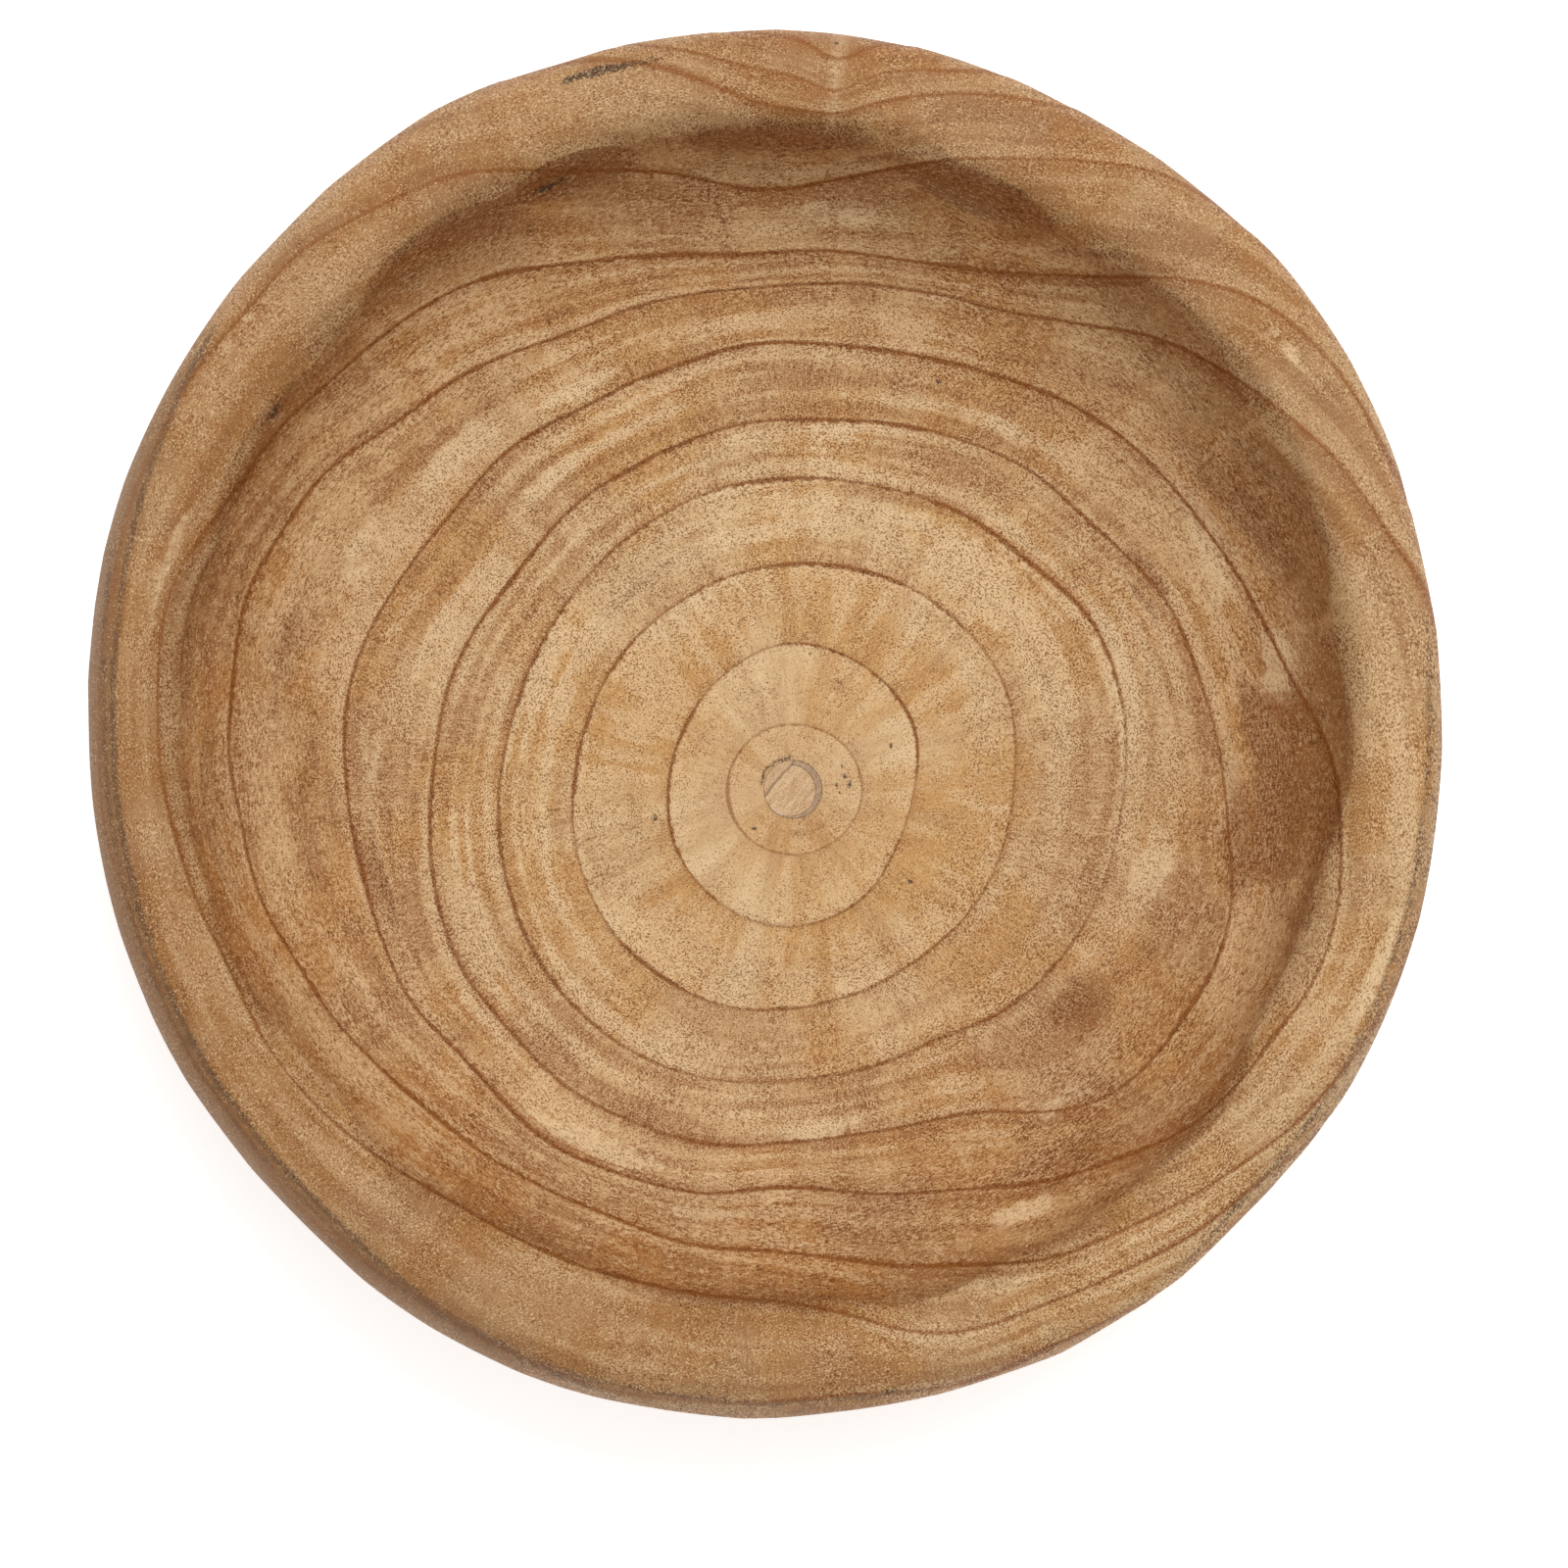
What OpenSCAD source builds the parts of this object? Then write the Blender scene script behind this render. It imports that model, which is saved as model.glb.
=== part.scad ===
// Dough bowl, carved by hand from one short length of a light hardwood log.
// The log stands upright, so the growth rings lie round a pith that is a little off the middle.
// The soft pith was bored out and the hole closed with a peg, a wooden sliver and filler.
// Sizes are millimetres. +Z is up, and the foot stands on Z = 0 under the middle of the plan.

/* [Bowl] */
// Mean diameter across the widest part of the outside
bowl_d = 386; // [330:1:440]
// Height from the foot to the mean crest of the rim
bowl_h = 102; // [90:1:120]
// Thickness of the floor under the hollow
floor_t = 28; // [18:1:38]
// Mean width of the rim, from its inner lip to the widest part of the outside
rim_w = 32; // [22:0.5:42]
// Mean diameter of the flat foot
foot_d = 206; // [150:1:260]
// Height of the widest part of the outside above the foot
belly_h = 66; // [50:1:80]
// Depth below the crest at which the inner wall stands upright
lip_drop = 22; // [12:1:30]

/* [Carved curves] */
// Mean squareness of the hollow: 2 is a round bowl, and more gives a flatter floor and steeper walls
hollow_square = 2.5; // [2.1:0.1:3.5]
// How far the hollow's squareness swings to each side of its mean round the bowl
hollow_swing = 0.3; // [0:0.1:0.5]
// Mean squareness of the inner lip
lip_square = 2.9; // [2.4:0.1:3.6]
// How far the lip's squareness swings to each side of its mean
lip_swing = 0.6; // [0:0.1:0.8]
// Mean squareness of the outer shoulder of the rim
shoulder_square = 2.9; // [2.4:0.1:3.6]
// How far the shoulder's squareness swings to each side of its mean
shoulder_swing = 0.5; // [0:0.1:0.8]
// Direction in which the hollow, lip and shoulder are squarest, anticlockwise from +X
square_toward = 45; // [0:5:355]
// Squareness of the outside below its widest part
belly_square = 2; // [1.6:0.1:2.6]

/* [Pith repair] */
// Place of the pith to the right of the bowl's axis
pith_x = 7.8; // [-20:0.1:20]
// Place of the pith beyond the bowl's axis, towards +Y
pith_y = -18; // [-25:0.1:25]
// Diameter of the hole bored along the pith
pith_hole_d = 17; // [12:0.5:26]
// Thickness of the filler at its widest, between the peg and the hole
filler_t = 1.9; // [1:0.1:4]
// How far the filler reaches round the peg, past the pith
filler_wrap = 5.5; // [0:0.5:6.5]
// Direction in which the peg leans against the hole, anticlockwise from +X
peg_lean = 200; // [0:5:355]
// Thickness of the wooden sliver at its middle
sliver_t = 3.4; // [1.5:0.1:6]
// Direction of the sliver from the pith, anticlockwise from +X
sliver_toward = 140; // [0:5:355]
// Glue gap between the pieces in the hole
glue_gap = 0.1; // [0.05:0.05:0.2]
// How far the repair stops short of the foot's plane
repair_recess = 0.5; // [0.2:0.1:2]
// Flat floor kept round the pith hole
flat_margin = 12; // [6:1:20]

/* [Facets] */
// Facets round the bowl
facets_round = 96; // [72:12:120]
// Facets up the hollow's wall
facets_hollow = 12; // [8:1:14]
// Facets over each side of the rim
facets_rim = 6; // [5:1:8]
// Facets down the outside
facets_belly = 10; // [7:1:12]

/* [Hidden] */
$fn = 96;

// What the hand left out of true, every 15 degrees from +X, outward from the mean outline
outline_wander = [
    -2.9, -2.7, 0.4, 1.1, 0.6, 1.7, 2.3, 2.0, 2.5, 1.2, 0.6, -0.9,
    -2.3, -1.8, -1.5, -1.4, 0.9, 2.3, 2.0, 1.8, 2.0, 0.1, -0.1, -1.4];
// The same for the inner lip, every 30 degrees
lip_wander = [-1, 1, -0.5, 4, 2.5, -1.5, 2.5, -1.5, -3.5, -1.5, 3.5, -1];
// The same for the height of the crest, every 30 degrees
crest_wander = [1, -0.5, -1.5, 0.5, 2, 1, -1, -1.5, 0, 1.5, 0.5, -1];

wood = "#c39b69";
peg_wood = "#cda775";
filler_grey = "#8d7a64";

bowl_r = bowl_d / 2;
pith_hole_r = pith_hole_d / 2;
peg_r = (pith_hole_d - filler_t - 3 * glue_gap) / 2;
peg_shift = pith_hole_r - peg_r - glue_gap;
sliver_face = pith_hole_r - sliver_t;
flat_r = norm([pith_x, pith_y]) + pith_hole_r + flat_margin;
upright_z = bowl_h - lip_drop;
overshoot = 1;

// Value of a closed list of wanders at an angle, on a smooth curve through its entries
function wander(list, angle) =
    let (
        count = len(list),
        place = angle / 360 * count,
        index = floor(place),
        part = place - index,
        before = list[(index + count - 1) % count],
        here = list[index % count],
        next = list[(index + 1) % count],
        after = list[(index + 2) % count]
    )
    here + part / 2 * (next - before
        + part * (2 * before - 5 * here + 4 * next - after
        + part * (3 * (here - next) + after - before)));

// Point of a quarter of a squared-off ellipse: turn 0 is at start, level, and turn 90 at end, upright
function quarter(start, end, square, turn) = [
    start.x + (end.x - start.x) * pow(sin(turn), 2 / square),
    end.y - (end.y - start.y) * pow(cos(turn), 2 / square)];

// Turns from one end of a quarter to the other, without the first
function turns_up(count) = [for (k = [1 : count]) 90 * k / count];
function turns_down(count) = [for (k = [count - 1 : -1 : 0]) 90 * k / count];

function outline_r(angle) = bowl_r + wander(outline_wander, angle);
function lip_r(angle) = bowl_r - rim_w + wander(lip_wander, angle);
function crest(angle) = [
    (outline_r(angle) + lip_r(angle)) / 2,
    bowl_h + wander(crest_wander, angle)];
function foot_r(angle) = foot_d / 2 + wander(outline_wander, angle);
function squareness(mean, swing, angle) = mean + swing * cos(angle - square_toward);

// Section of the wall at an angle, as radius and height, from the flat floor over the rim to the foot
function section(angle) =
    let (
        floor_edge = [flat_r, floor_t],
        inner = [lip_r(angle), upright_z],
        top = crest(angle),
        outer = [outline_r(angle), belly_h],
        foot_edge = [foot_r(angle), 0],
        hollow = squareness(hollow_square, hollow_swing, angle),
        lip = squareness(lip_square, lip_swing, angle),
        shoulder = squareness(shoulder_square, shoulder_swing, angle)
    )
    concat(
        [floor_edge],
        [for (turn = turns_up(facets_hollow)) quarter(floor_edge, inner, hollow, turn)],
        [for (turn = turns_down(facets_rim)) quarter(top, inner, lip, turn)],
        [for (turn = turns_up(facets_rim)) quarter(top, outer, shoulder, turn)],
        [for (turn = turns_down(facets_belly)) quarter(foot_edge, outer, belly_square, turn)]);

angles = [for (k = [0 : facets_round - 1]) 360 * k / facets_round];
outline = [for (angle = angles) outline_r(angle) * [cos(angle), sin(angle)]];
outline_x = [for (point = outline) point.x];
outline_y = [for (point = outline) point.y];
// The bowl's axis, set so that the middle of the plan is at the origin
axis = -[min(outline_x) + max(outline_x), min(outline_y) + max(outline_y)] / 2;
pith = axis + [pith_x, pith_y];

// The carved solid, before the pith is bored out
module carved_log() {
    sections = [for (angle = angles) section(angle)];
    last = len(sections[0]) - 1;
    points = [
        for (row = [0 : last], column = [0 : facets_round - 1])
            let (angle = angles[column], spot = sections[column][row])
            [axis.x + spot.x * cos(angle), axis.y + spot.x * sin(angle), spot.y]];
    sides = [
        for (row = [0 : last - 1], column = [0 : facets_round - 1])
            let (
                beside = (column + 1) % facets_round,
                a = row * facets_round + column,
                b = row * facets_round + beside,
                c = (row + 1) * facets_round + beside,
                d = (row + 1) * facets_round + column
            )
            each [[a, b, c], [a, c, d]]];
    floor_face = [for (column = [facets_round - 1 : -1 : 0]) column];
    foot_face = [for (column = [0 : facets_round - 1]) last * facets_round + column];
    polyhedron(points, concat(sides, [floor_face, foot_face]));
}

// Upright round bar on the pith, or beside it, from the repair's underside to the floor
module repair_bar(r, shift = [0, 0]) {
    translate([pith.x + shift.x, pith.y + shift.y, repair_recess])
        cylinder(r = r, h = floor_t - repair_recess);
}

// Everything further than a distance from the pith in one direction, within the hole's reach
module beyond(distance, toward) {
    translate([pith.x, pith.y, -overshoot])
        rotate(toward)
            translate([distance, -pith_hole_d, 0])
                cube([pith_hole_d, 2 * pith_hole_d, floor_t + 2 * overshoot]);
}

peg_offset = peg_shift * [cos(peg_lean), sin(peg_lean)];

module bowl_body() {
    color(wood)
        difference() {
            carved_log();
            translate([pith.x, pith.y, -overshoot])
                cylinder(r = pith_hole_r, h = floor_t + 2 * overshoot);
        }
}

module pith_peg() {
    color(peg_wood)
        difference() {
            repair_bar(peg_r, peg_offset);
            beyond(sliver_face - glue_gap, sliver_toward);
        }
}

module pith_sliver() {
    color(wood)
        intersection() {
            repair_bar(pith_hole_r - glue_gap);
            beyond(sliver_face, sliver_toward);
        }
}

module pith_filler() {
    color(filler_grey)
        difference() {
            intersection() {
                repair_bar(pith_hole_r - glue_gap);
                beyond(-filler_wrap, peg_lean + 180);
            }
            repair_bar(peg_r + glue_gap, peg_offset);
            beyond(sliver_face - glue_gap, sliver_toward);
        }
}

bowl_body();
pith_peg();
pith_sliver();
pith_filler();
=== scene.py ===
import itertools
import math

import bpy
import numpy as np
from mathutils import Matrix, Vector


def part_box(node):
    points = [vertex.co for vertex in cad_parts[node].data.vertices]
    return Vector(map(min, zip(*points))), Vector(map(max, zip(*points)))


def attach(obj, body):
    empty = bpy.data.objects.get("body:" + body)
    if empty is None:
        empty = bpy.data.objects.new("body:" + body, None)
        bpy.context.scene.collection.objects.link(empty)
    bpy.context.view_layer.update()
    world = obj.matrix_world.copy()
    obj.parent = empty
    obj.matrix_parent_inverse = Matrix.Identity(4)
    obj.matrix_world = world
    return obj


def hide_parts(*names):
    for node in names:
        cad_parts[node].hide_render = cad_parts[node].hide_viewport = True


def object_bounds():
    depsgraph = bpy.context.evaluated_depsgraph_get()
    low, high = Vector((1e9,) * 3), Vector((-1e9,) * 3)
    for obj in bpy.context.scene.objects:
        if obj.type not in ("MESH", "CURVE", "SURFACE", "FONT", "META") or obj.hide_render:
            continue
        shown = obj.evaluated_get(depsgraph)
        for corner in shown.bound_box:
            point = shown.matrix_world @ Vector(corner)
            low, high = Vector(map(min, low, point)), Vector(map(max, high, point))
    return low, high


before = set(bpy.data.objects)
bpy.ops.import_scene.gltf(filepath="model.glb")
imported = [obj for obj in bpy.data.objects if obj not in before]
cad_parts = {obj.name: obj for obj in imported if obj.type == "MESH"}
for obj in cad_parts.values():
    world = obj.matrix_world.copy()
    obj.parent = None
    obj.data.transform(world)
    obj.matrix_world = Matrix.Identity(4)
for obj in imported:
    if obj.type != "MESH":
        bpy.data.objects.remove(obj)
cad_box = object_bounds()

# Units: the working arrays are in millimetres and degrees, and Blender's are in metres
MM = 0.001
FULL_TURN = 360.0

# Camera: straight down, a little off the bowl's middle, as in the photograph, whose scale holds at OUTLINE_Z
PHOTO_PIXELS = 1600
MM_PER_PIXEL = 0.275
OUTLINE_Z = 76.0
EYE = (5.5, -16.6, 1566.0)
SENSOR_MM = 36.0

# Light: white from all round, and a large soft lamp high on the right of the far side, with its distance
# and size in metres, as the floor's is
ROOM_LIGHT = 0.78
KEY_WATTS = 21.0
KEY_TOWARD = 70.0
KEY_RISE = 64.0
KEY_DISTANCE = 1.9
KEY_SIZE = 1.0
FLOOR_SIZE = 8.0
FLOOR_PALE = 0.95
FLOOR_GLOW = 0.4
FLOOR_ROUGHNESS = 0.9

# Reading the CAD mesh back: digits kept, how far a corner may lie from its level, edge or column, and the
# least width of floor between the bore and the floor's edge
CAD_DIGITS = 2
LEVEL_SLACK = 0.01
EDGE_SLACK = 0.1
COLUMN_SLACK = 2.0
LEAST_FLOOR = 1.0

# Fineness of the carved mesh, and of the edges of the repair
COLUMNS = 400
FLOOR_STEP = 2.0
WALL_STEP = 1.1
OUTSIDE_STEP = 4.0
DISC_ROWS = 22
DISC_CROWDING = 1.3
FOOT_ROWS = 12
BORE_ROWS = 6
BORE_CHAMFER = 0.06
SHARP_ANGLE = 40.0
LEAST_LENGTH = 1e-9
REPAIR_WELD = 0.01
REPAIR_BEVEL = 0.05
BEVEL_SEGMENTS = 2

# Growth rings: radius of each dark line from the pith as seen from above, read at even angles,
# anticlockwise from +X. Outer rings run off the wood where their radius passes the outline.
RING_RADII = [
    [19.0, 17.9, 18.4, 18.7],
    [33.8, 38.5, 40.2, 41.0, 37.7, 35.5, 34.9, 36.6, 38.0, 38.5, 36.6, 33.3],
    [62.4, 66.0, 64.9, 63.5, 61.1, 61.1, 61.3, 63.8, 64.1, 61.3, 58.9, 60.8],
    [92.7, 95.4, 96.5, 92.1, 90.8, 88.0, 87.2, 86.4, 84.7, 82.8, 81.7, 81.4,
     82.5, 84.2, 85.8, 86.4, 86.1, 83.9, 81.7, 80.9, 80.9, 86.1, 89.4, 91.0],
    [121.3, 118.5, 116.1, 111.7, 110.3, 105.9, 104.0, 102.9, 101.5, 99.3, 99.3, 100.4,
     102.3, 104.0, 105.3, 104.5, 104.0, 101.8, 98.7, 99.3, 105.6, 123.2, 127.6, 127.3],
    [153.2, 142.5, 137.0, 134.5, 132.3, 126.5, 125.1, 123.5, 123.2, 123.8, 126.0, 127.6,
     125.1, 122.7, 121.3, 119.4, 119.4, 115.8, 111.9, 117.2, 128.7, 142.7, 151.8, 155.4],
    [181.0, 184.3, 178.2, 167.5, 151.8, 144.4, 141.9, 142.2, 144.4, 151.0, 159.5, 160.9,
     156.8, 151.0, 140.8, 136.1, 131.2, 130.1, 131.5, 137.8, 150.2, 160.6, 171.9, 179.3],
    [192.0, 191.5, 190.3, 190.9, 165.3, 152.6, 151.3, 155.1, 167.2, 172.4, 178.2, 182.6,
     176.0, 168.6, 162.0, 154.6, 147.7, 144.7, 145.8, 157.6, 162.0, 169.4, 177.4, 184.5],
    [199.4, 202.0, 204.9, 203.5, 199.7, 183.7, 168.6, 178.2, 197.7, 204.9, 204.1, 199.1,
     194.2, 188.7, 183.4, 179.3, 176.3, 175.2, 172.2, 172.7, 173.8, 180.1, 187.0, 193.9],
    [215.0, 218.0, 220.0, 218.0, 213.0, 201.3, 192.5, 210.4, 219.0, 222.0, 221.0, 216.0,
     210.0, 204.0, 199.0, 195.0, 192.0, 190.0, 187.0, 188.0, 190.0, 196.0, 203.0, 210.0],
    [224.0, 227.0, 229.0, 228.0, 224.0, 208.0, 202.1, 216.0, 229.0, 232.0, 231.0, 226.0,
     220.0, 214.0, 209.0, 205.0, 202.0, 200.0, 197.0, 198.0, 200.0, 206.0, 213.0, 220.0],
]
LEAST_RING = 1.0
LEAST_PACE = 0.001
RING_RELIEF = 0.3

# Trace of a small branch under the far rim: the rings dip towards the pith beside it
TRACE_ANGLE = 86.5
TRACE_HALF_ANGLE = 2.2
TRACE_FROM = 182.0
TRACE_RUN = 20.0
TRACE_DIP = 5.0
TRACE_STREAK = 0.5
TRACE_EDGE = 5.0

# Dark patches, partly stains and partly painted shade where the walls face away from the lamp, pale patches
# and scorches, listed: angle and radius about the bowl's middle as seen from above, half-angle, half-width
# along the radius, and strength
STAINS_AND_SHADE = [
    (353, 146, 9, 12, 0.66), (344, 138, 4, 7, 0.45), (1, 142, 2.5, 8, 0.6), (8, 158, 9, 6, 0.3),
    (22, 150, 9, 10, 0.35), (33, 142, 9, 9, 0.35), (22, 115, 6, 5, 0.5), (11, 181, 7, 7, 0.3),
    (52, 167, 9, 8, 0.35), (69, 161, 8, 4, 0.5), (83, 167, 3, 3, 0.7), (91, 165, 7, 3.5, 0.8),
    (88, 192, 16, 5, 0.45), (110, 163, 5, 4.5, 0.6), (129, 163, 11, 6, 0.4), (147.5, 163.5, 3, 2, 0.6),
    (170, 133, 11, 8, 0.35), (175, 161, 10, 7, 0.2), (190, 156, 11, 5, 0.2), (185, 128, 5, 3, 0.45),
    (203, 117, 9, 4, 0.45), (213, 139, 3.5, 2.5, 0.5), (210, 185, 6, 2.5, 0.4), (192, 183, 18, 4, 0.35),
    (232, 153, 8, 4, 0.3), (246, 157, 7, 4, 0.4), (262, 161, 8, 4, 0.45), (275, 163, 6, 5, 0.4),
    (288, 162, 8, 5, 0.2), (306, 148, 5, 4, 0.5), (318, 119, 5, 7.5, 0.85), (330, 125, 4, 5, 0.45),
    (327, 176.5, 2.5, 1.5, 0.5), (342, 160, 8, 3, 0.4), (30, 24, 8, 6, 0.55), (300, 30, 18, 5, 0.25),
]
PALE_PATCHES = [
    (6, 145, 5, 5, 0.8), (22, 134, 8, 4, 0.6), (36, 181, 5, 3, 0.45), (83, 146, 8, 5, 0.5),
    (50, 106, 6, 5, 0.5), (66, 131, 6, 3, 0.4), (119, 108, 8, 3, 0.7), (138, 116, 7, 5, 0.6),
    (157, 124, 8, 6, 0.45), (142, 185.5, 7, 2.5, 0.4), (163, 174, 12, 3, 0.4), (248, 127, 9, 3.5, 0.7),
    (263, 139, 8, 4, 0.55), (225, 114, 6, 3, 0.5), (185, 110, 6, 3, 0.5), (277, 115, 8, 3, 0.6),
    (292, 173, 8, 5, 0.4), (298, 154, 5, 4, 0.6), (307, 135, 7, 4, 0.5), (338, 186, 7, 3.5, 0.5),
    (340, 116, 7, 10, 0.5), (351, 131, 7, 3, 0.4), (131, 91, 9, 6, 0.5), (75, 84, 9, 5, 0.5),
    (0, 101, 14, 5, 0.45), (12, 96, 8, 6, 0.4),
]
SCORCHES = [
    (104.2, 189.4, 3.8, 1.2, 1.0), (112, 163, 2.2, 1.0, 0.7), (280.4, 190, 0.35, 0.6, 1.5),
    (147.5, 163.5, 1.0, 0.8, 0.7), (64, 166, 3.0, 0.8, 0.5),
]
PATCH_FALL = 0.7

# Dishes that the gouge left in the wall of the hollow, listed: angle and radius about the bowl's
# middle as seen from above, half-angle, half-width along the radius, depth, and how dark the dish is
# How dark a dish is stands partly for darker wood and partly for painted shade in its hollow, most in the
# dishes facing away from the lamp
DISHES = [
    (-3, 154, 14, 11, 3.6, 0.45), (21, 155, 11, 11.5, 3.6, 0.4), (43, 156, 12, 11, 2.8, 0.5),
    (68, 160, 9, 6, 3.4, 0.9), (80, 149, 13, 8, 2.4, 0.15), (89.5, 156, 12, 4.5, 2.8, 0.25),
    (109, 163, 7, 6, 3.2, 0.9), (125, 160, 10, 9, 3.2, 0.6), (121, 150, 9, 7, 2.0, 0.2),
    (141, 151, 9, 9, 2.6, 0.0), (152, 160, 11, 7, 2.6, 0.45), (171, 159, 11, 6, 3.0, 0.5),
    (165, 146, 10, 7, 2.0, 0.1), (189, 154, 11, 5.5, 2.6, 0.5), (204, 160, 9, 5.5, 2.4, 0.3),
    (218, 151, 8, 6.5, 2.4, 0.2), (231, 158, 8, 6.5, 2.4, 0.25), (249, 152, 8, 6, 2.4, 0.2),
    (243, 141, 9, 9, 2.0, 0.1), (262, 158, 10, 6.5, 2.6, 0.35), (277, 152, 9, 7, 2.0, 0.1),
    (286, 160, 9, 7, 3.0, 0.5), (303, 147, 7, 6, 3.0, 0.45), (300, 158, 9, 8, 2.6, 0.1),
    (318, 160, 10, 8, 3.0, 0.4), (326, 134, 11, 7, 1.8, 0.25), (334, 152, 9, 9, 2.6, 0.35),
    (350, 148, 9, 9, 3.0, 0.6),
]
DISH_EDGE = 3.0
DISH_TONE = 0.75
TONE_DEPTH = 0.5

# Small cuts all over: how far apart along the section and round the bowl, and how deep
WALL_CUTS = (16.0, 34.0, 1.3)
FLOOR_CUTS = (24.0, 40.0, 0.35)
RIM_CUTS = (15.0, 44.0, 0.5)
OUTSIDE_CUTS = (22.0, 40.0, 1.2)
CUT_SEED = 11
CUT_SHIFT = 0.3
CUT_HALF_ROUND = (0.6, 1.0)
CUT_HALF_ALONG = (0.65, 1.0)
CUT_LEAN = 25.0
CUT_DEPTH = (0.45, 1.0)
CUT_TONE = (-0.15, 0.25)
CUT_FADE = 14.0
LEAST_CUTS = 6
BELLY_CALM = 12.0

# Stretches of the section: where the floor's cuts start, distances below the crest of the rim on the
# hollow's side and beyond it outside, and the rise at which the floor turns into wall
FLOOR_FROM = 16.0
WALL_BELOW = 66.0
LIP_BELOW = 12.0
RIM_BELOW = 8.0
RIM_BEYOND = 14.0
OUTSIDE_BEYOND = 20.0
TOE_RISE = 8.0

# Where the colour darkens: out from the middle and up the hollow's wall, as browner side grain and as
# painted shade of the hollow, and over the rim, as darker wood, except on one side, kept paler by painted
# light
WALL_FROM = 60.0
WALL_TO = 140.0
WALL_BY_RADIUS = 0.75
WALL_STEEPNESS = (0.05, 0.8)
LIP_FADE = (40.0, 12.0)
RIM_FADE = (26.0, 8.0)
# Painted light on one side of the rim: its direction, the cosines from it over which it comes in, and how
# much of the rim's darkening it takes off
RIM_LIT_TOWARD = 325.0
RIM_LIT_SPREAD = (0.3, 1.0)
RIM_PAINTED_LIGHT = 0.5

# Outside: bands over the shoulder, partly greyer weathered wood and partly painted shade on the side away
# from the lamp, by direction, the cosines from it at which a band starts and is widest, width and strength,
# then the belly below them, painted darker, and the foot, which is worn paler
FLANK_BANDS = [
    (200.0, (0.35, 0.9), 7.0, 1.0),
    (225.0, (0.2, 0.8), 4.5, 0.7),
    (338.0, (0.7, 1.0), 4.0, 0.75),
]
BAND_EDGE = 1.5
BAND_FULL = 6.0
BAND_LINE = 1.1
BELLY_TONE = 0.45
BELLY_BLEND = 22.0
FOOT_WEAR = 0.6

# Noise: the detail that it holds, and how far apart it is drawn for two rings or two markings
NOISE_MIDDLE = 0.5
SMOOTH = 0.0
FINE = 1.0
NORMAL = 2.0
RAGGED_DETAIL = 3.0
WEDGE_DETAIL = 4.0
RING_SHIFT = 7.31
MARKING_SHIFT = 3.17

# Patterns: size, or sizes along the ring and across it, all drawn out along the trunk
FIBRE = 8.0
RING_STEP = 21.0
BEND = 40.0
JITTER = 2.2
LINE_STRETCH = (45.0, 200.0)
LINE_CLUMP = (3.5, 200.0)
BROAD_SECTOR = (34.0, 60.0)
WEDGE = (7.0, 30.0)
STREAK = (85.0, 4.5)
FRINGE_SIDE = (40.0, 200.0)
FRINGE_SPIKE = (1.6, 30.0)
LARGE = 38.0
CLUSTER = 9.0
RAGGED = 4.0
SAND = 0.42
PORE = (0.7, 0.4)
CROSS_STROKE = (0.5, 2.6)
WALL_STROKE = (1.7, 0.5)
RIPPLE = (7.0, 1.1)
PEG_WAVE = 4.5
PEG_PORE = 0.5
PEG_STROKE = (5.0, 1.1)

# In the groups below, a fade is two values and what it gives at each of them, or else 0 and 1. A single
# number is a share, a factor or a length. RING in a name means that the fade goes by the ring's number.

# Ring lines: how they bend, how wide and dark they are, and the brown halo on their inner side
BEND_RING = (4.0, 6.5, 2.0, 6.0)
JITTER_REACH = 0.14
LINE_INSIDE = (-0.04, 0.2, 0.65, 1.7)
LINE_INSIDE_CLUMP = 0.6
LINE_CORE = 0.25
LINE_OUTSIDE = 0.95
LINE_EDGE = 0.1
LINE_WIDTH_RING = (1.0, 5.0, 0.72, 1.05)
LINE_STRENGTH = (-0.14, 0.1, 0.48, 0.94)
LINE_STRENGTH_CLUMP = 0.5
LINE_STRONG_RING = (4.0, 5.5, 0.0, 0.8)
LINE_FAINT_RING = (1.0, 2.0, 0.75, 1.0)
LINE_FLANK = (0.0, 0.4, 1.0, 0.6)
LINE_LOSS_RIM = 0.3
LINE_SIDES = (-0.1, 0.1)
HALO = (5.0, 0.3)
HALO_STRETCH = (-0.15, 0.15, 0.0, 0.3)
HALO_RING = (4.5, 6.0)

# Wedges and streaks of paler and browner wood, and the brown fringe of spikes on one side of a line
STREAK_RING = (2.0, 4.0)
STREAK_SHARE = 0.72
TREND_RING = (2.0, 6.0, 0.16, -0.06)
RING_MIDDLE = 0.5
PATCH_BROAD = 0.55
PATCH_WEDGE = 0.95
PATCH_RAGGED = 0.15
WEDGE_RING = (2.0, 4.5, 0.5, 1.0)
WEDGE_LOSS_RIM = 0.4
PALE_WEDGE = [(0.0, 0.13), (0.05, 0.08, 0.0, 0.25)]
BROWN_WEDGE = [(0.0, -0.14), (-0.05, -0.08, 0.0, 0.25)]
FRINGE_SIDE_RING = (3.0, 6.5)
FRINGE_SIDE_WANDER = 6.0
FRINGE_LENGTH = (-0.15, 0.2, 0.6, 7.0)

# Grain: pores or strokes, how lively they are, the rim's ripples, and the surface
POROUS = (-0.05, 0.05)
POROUS_CLUSTER = 0.5
POROUS_RIM = 0.1
CROSS_SHARE = 0.4
WALL_SHARE = (0.5, 0.8, 0.0, 0.7)
LIVELY = (-0.15, 0.15, 0.85, 1.25)
LIVELY_STREAK = 0.5
LIVELY_RADIUS = (12.0, 85.0, 0.6, 1.12)
LIVELY_WALL = (0.65, 0.95, 1.0, 0.68)
LIVELY_LOSS_RIM = 0.48
LIVELY_LOSS_FLANK = 0.4
GRAIN_STROKE = 0.72
GRAIN_SAND = 0.48
RIPPLE_LINE = (0.03, 0.12)
RIPPLE_AREA = (-0.05, 0.1)
GRAIN_DEPTH = 0.15
ROUGHNESS = (-0.2, 0.2, 0.6, 0.8)
SPECULAR = 0.25

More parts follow.
